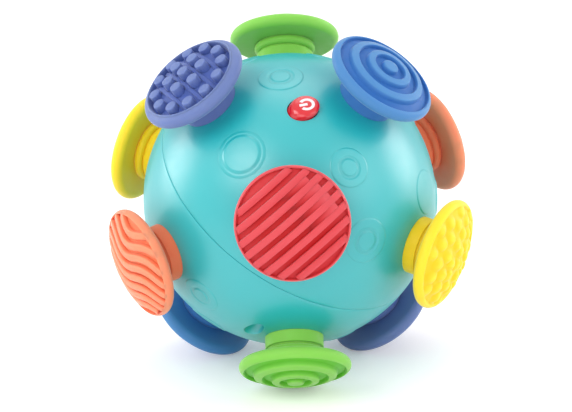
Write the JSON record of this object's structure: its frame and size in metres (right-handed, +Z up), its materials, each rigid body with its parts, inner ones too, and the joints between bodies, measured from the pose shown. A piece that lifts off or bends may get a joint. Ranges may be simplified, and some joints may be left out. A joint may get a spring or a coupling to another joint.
{
  "type": "motorised sensory ball",
  "caption": "Hard ball with soft textured mushroom knobs all round, a power button and an off-centre weight that a small motor turns inside.",
  "frame": {"origin": "centre of the spherical shell", "axes": "+Z up when the ball stands on its three foot knobs; the red ribbed knob faces -Y; +X is to the right seen from the front"},
  "size_m": [0.1622, 0.1718, 0.157],
  "materials": {
    "shell_teal": "satin moulded ABS, fine spark grain",
    "button_red": "glossy red ABS cap with a white sign",
    "soft_red": "soft matte elastomer, slightly translucent",
    "soft_blue": "soft matte elastomer, slightly translucent",
    "soft_green": "soft matte elastomer, slightly translucent",
    "soft_purple": "soft matte elastomer, slightly translucent",
    "soft_yellow": "soft matte elastomer, slightly translucent",
    "soft_orange": "soft matte elastomer, slightly translucent",
    "white_plastic": "plain moulded ABS",
    "gear_plastic": "natural acetal",
    "black_plastic": "moulded black plastic",
    "board_green": "green solder mask on glass epoxy",
    "cell_sleeve": "cell can in a plain printed sleeve",
    "nickel_plate": "nickel-plated spring steel",
    "motor_can": "plated steel can",
    "zinc_plate": "zinc-plated sheet steel",
    "screw_steel": "zinc-plated steel",
    "shaft_steel": "ground steel rod",
    "black_steel": "blackened steel",
    "gear_brass": "machined brass",
    "weight_iron": "plain cast iron"
  },
  "bodies": {
    "ball": {"upper_shell": "shell_teal", "lower_shell": "shell_teal", "knob_red_front": "soft_red", "knob_red_back": "soft_red", "knob_blue_upper": "soft_blue", "knob_blue_foot": "soft_blue", "knob_green_upper": "soft_green", "knob_green_foot": "soft_green", "knob_purple_upper": "soft_purple", "knob_purple_foot": "soft_purple", "knob_yellow_right": "soft_yellow", "knob_yellow_left": "soft_yellow", "knob_orange_left": "soft_orange", "knob_orange_right": "soft_orange", "collars_red": "soft_red", "collars_blue": "soft_blue", "collars_green": "soft_green", "collars_purple": "soft_purple", "collars_yellow": "soft_yellow", "collars_orange": "soft_orange", "knob_cores": "white_plastic", "knob_washers": "white_plastic", "mid_frame": "white_plastic", "battery_tube": "white_plastic", "motor_end_cap": "white_plastic", "knob_screws": "screw_steel", "shell_screws": "screw_steel", "board_screws": "screw_steel", "frame_screws": "screw_steel", "switch_body": "black_plastic", "circuit_board": "board_green", "board_parts": "black_plastic", "battery_cells": "cell_sleeve", "base_contacts": "nickel_plate", "motor": "motor_can", "motor_strap": "zinc_plate", "motor_plate": "zinc_plate", "gear_plate": "zinc_plate", "outer_bracket": "zinc_plate", "shaft_bushes": "gear_brass"},
    "power_button": {"power_button": "button_red"},
    "switch_plunger": {"switch_plunger": "white_plastic"},
    "rotor": {"output_gear": "gear_plastic", "output_shaft": "shaft_steel", "eccentric_weight": "weight_iron", "weight_screw": "black_steel"},
    "pinion": {"drive_pinion": "gear_brass", "motor_shaft": "shaft_steel"},
    "battery_door": {"battery_door": "shell_teal", "door_contacts": "nickel_plate", "door_screws": "screw_steel"}
  },
  "joints": [
    {"name": "button_press", "type": "slide", "parent": "ball", "child": "power_button", "axis": [-0.5257, 0.3035, -0.7947], "range_m": [0, 0.001], "stiffness_N_per_m": 1000, "springref_m": -0.0005},
    {"name": "switch_press", "type": "slide", "parent": "ball", "child": "switch_plunger", "axis": [-0.5257, 0.3035, -0.7947], "range_m": [0, 0.001]},
    {"name": "weight_spin", "type": "hinge", "parent": "ball", "child": "rotor", "pos_m": [0.01207, -0.00697, 0.01825], "axis": [-0.5, -0.866, 0], "continuous": true},
    {"name": "pinion_spin", "type": "hinge", "parent": "ball", "child": "pinion", "pos_m": [0.01645, -0.0095, -0.00079], "axis": [-0.5, -0.866, 0], "continuous": true},
    {"name": "door_slide", "type": "slide", "parent": "ball", "child": "battery_door", "axis": [-0.5774, 0.7454, -0.3333], "range_m": [0, 0.03]}
  ],
  "couplings": [
    {"joint": "switch_press", "follows": "button_press", "ratio": 1},
    {"joint": "pinion_spin", "follows": "weight_spin", "ratio": -3}
  ]
}
